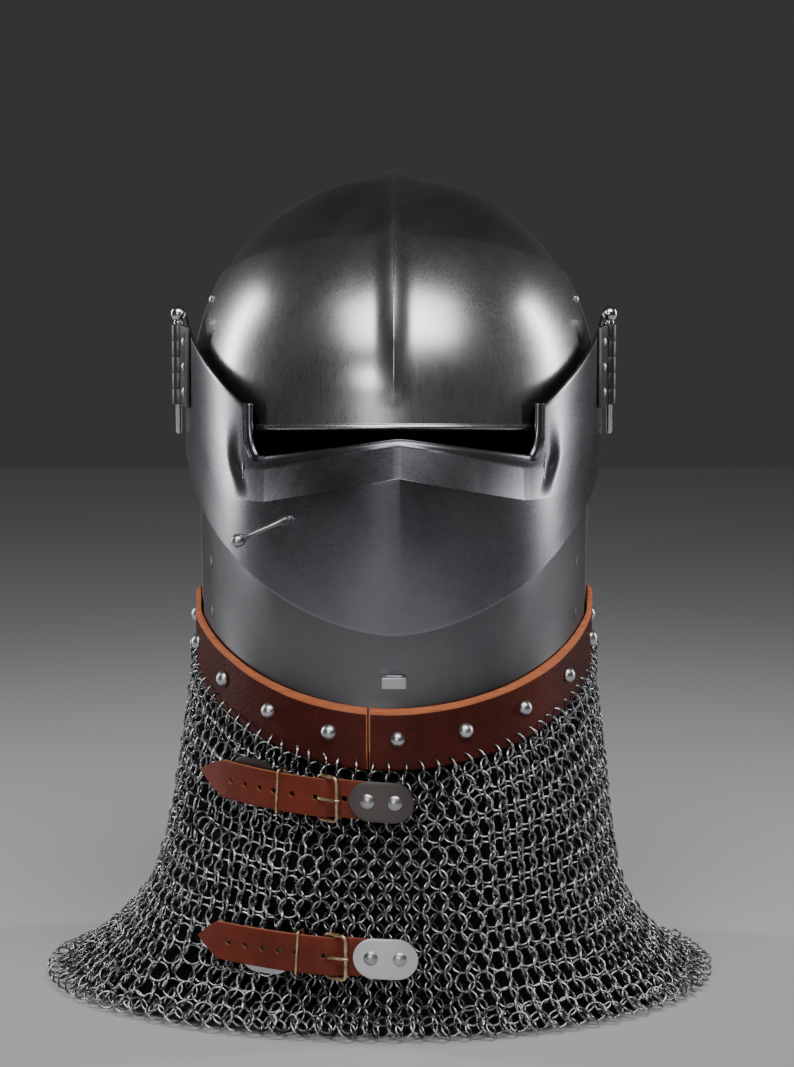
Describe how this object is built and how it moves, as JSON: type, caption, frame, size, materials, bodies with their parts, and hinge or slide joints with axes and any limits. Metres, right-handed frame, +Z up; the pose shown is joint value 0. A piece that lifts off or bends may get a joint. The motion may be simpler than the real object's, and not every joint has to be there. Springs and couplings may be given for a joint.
{
  "type": "knight helmet",
  "caption": "Steel helmet with a keeled skull, brow plate, pivoting visor on removable hinges, riveted bevor, studded leather collar and a strapped mail aventail.",
  "frame": {"origin": "middle of the bounding box on the surface that the mail hem stands on", "axes": "+Z up, the face looks along -Y, +X is the wearer's left"},
  "size_m": [0.4, 0.344, 0.494],
  "materials": {
    "skull_steel": "satin hand-finished steel",
    "brow_steel": "polished steel with fine brush marks",
    "bevor_steel": "satin steel",
    "visor_steel": "polished steel with fine brush marks",
    "hinge_steel": "darker worn steel",
    "rivet_steel": "polished steel",
    "pin_steel": "bright polished steel",
    "stud_steel": "bright domed steel",
    "plate_steel": "satin sheet steel",
    "mail_steel": "blackened wire rings, worn bright on their crowns",
    "collar_leather": "dark red-brown leather with a raw tan cut edge",
    "strap_leather": "red-brown strap leather",
    "band_leather": "brown leather",
    "liner_cloth": "quilted linen padding",
    "brass": "worn brass wire"
  },
  "bodies": {
    "helmet": {"skull": "skull_steel", "brow_plate": "brow_steel", "brow_bead": "brow_steel", "brow_rivets": "rivet_steel", "bevor": "bevor_steel", "bevor_rivets": "rivet_steel", "chin_staple": "rivet_steel", "pivot_bolt_left": "pin_steel", "pivot_bolt_right": "pin_steel", "pivot_nut_left": "hinge_steel", "pivot_nut_right": "hinge_steel", "leather_collar": "collar_leather", "collar_studs": "stud_steel", "stud_washers": "hinge_steel", "mail_aventail": "mail_steel", "liner_pad": "liner_cloth", "liner_band": "band_leather", "liner_rivets": "brass", "strap_upper": "strap_leather", "buckle_strap_upper": "strap_leather", "buckle_upper": "brass", "anchor_plate_upper": "plate_steel", "buckle_plate_upper": "plate_steel", "strap_rivets_upper": "rivet_steel", "strap_washers_upper": "plate_steel", "strap_lower": "strap_leather", "buckle_strap_lower": "strap_leather", "buckle_lower": "brass", "anchor_plate_lower": "plate_steel", "buckle_plate_lower": "plate_steel", "strap_rivets_lower": "rivet_steel", "strap_washers_lower": "plate_steel"},
    "visor": {"visor": "visor_steel", "sight_rim": "visor_steel", "lifting_peg": "rivet_steel", "visor_leaf_left": "hinge_steel", "visor_leaf_right": "hinge_steel", "leaf_rivets_left": "rivet_steel", "leaf_rivets_right": "rivet_steel", "pivot_arm_left": "hinge_steel", "pivot_arm_right": "hinge_steel"},
    "pin_left": {"hinge_pin_left": "pin_steel"},
    "pin_right": {"hinge_pin_right": "pin_steel"},
    "prong_upper": {"prong_upper": "brass"},
    "keeper_upper": {"keeper_upper": "brass"},
    "prong_lower": {"prong_lower": "brass"},
    "keeper_lower": {"keeper_lower": "brass"}
  },
  "joints": [
    {"name": "visor_lift", "type": "hinge", "parent": "helmet", "child": "visor", "pos_m": [0, 0.01, 0.38], "axis": [-1, 0, 0], "range_deg": [0, 95]},
    {"name": "hinge_pin_left_pull", "type": "slide", "parent": "visor", "child": "pin_left", "axis": [0, 0, 1], "range_m": [0, 0.068]},
    {"name": "hinge_pin_right_pull", "type": "slide", "parent": "visor", "child": "pin_right", "axis": [0, 0, 1], "range_m": [0, 0.068]},
    {"name": "prong_upper_lift", "type": "hinge", "parent": "helmet", "child": "prong_upper", "pos_m": [-0.04349, -0.1402, 0.137], "axis": [0, 0, -1], "range_deg": [0, 25]},
    {"name": "keeper_upper_slide", "type": "hinge", "parent": "helmet", "child": "keeper_upper", "pos_m": [0, -0.022, 0.137], "axis": [0, 0, 1], "range_deg": [0, 8]},
    {"name": "prong_lower_lift", "type": "hinge", "parent": "helmet", "child": "prong_lower", "pos_m": [-0.03899, -0.15636, 0.0475], "axis": [0, 0, -1], "range_deg": [0, 25]},
    {"name": "keeper_lower_slide", "type": "hinge", "parent": "helmet", "child": "keeper_lower", "pos_m": [0, 0, 0.0475], "axis": [0, 0, 1], "range_deg": [0, 3.5]}
  ]
}
